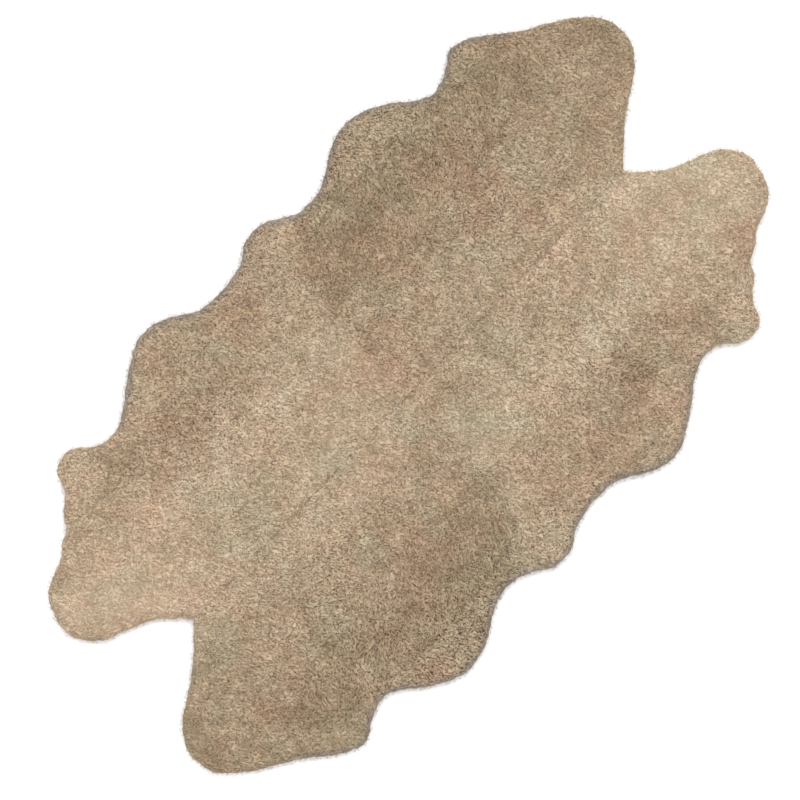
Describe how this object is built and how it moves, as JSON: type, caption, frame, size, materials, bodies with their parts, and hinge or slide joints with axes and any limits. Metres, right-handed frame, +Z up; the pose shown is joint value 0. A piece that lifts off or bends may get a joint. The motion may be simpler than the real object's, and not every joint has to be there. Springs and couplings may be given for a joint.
{
  "type": "sheepskin rug",
  "caption": "Long flat rug of curly short-wool sheepskins sewn edge to edge, with a lobed natural outline, notched ends and a flat suede underside.",
  "frame": {"origin": "middle of the rug's underside, where the long seam and the cross seam meet, on the floor", "axes": "+Y along the rug and its long seam, +X across the rug, +Z up out of the floor; the rug looks the same after half a turn about Z"},
  "size_m": [1.0371, 1.814, 0.03],
  "materials": {
    "dark_wool": "matt curly wool, darker pelts, greyer and browner towards the long sides",
    "light_wool": "matt curly wool, lighter pelts, with pale streaks along the rug",
    "skin": "undyed suede, matt",
    "seam_thread": "matt twisted sewing thread"
  },
  "bodies": {
    "root": {"pelt_far_dark": "dark_wool", "pelt_far_light": "light_wool", "pelt_near_dark": "dark_wool", "pelt_near_light": "light_wool"}
  },
  "joints": []
}
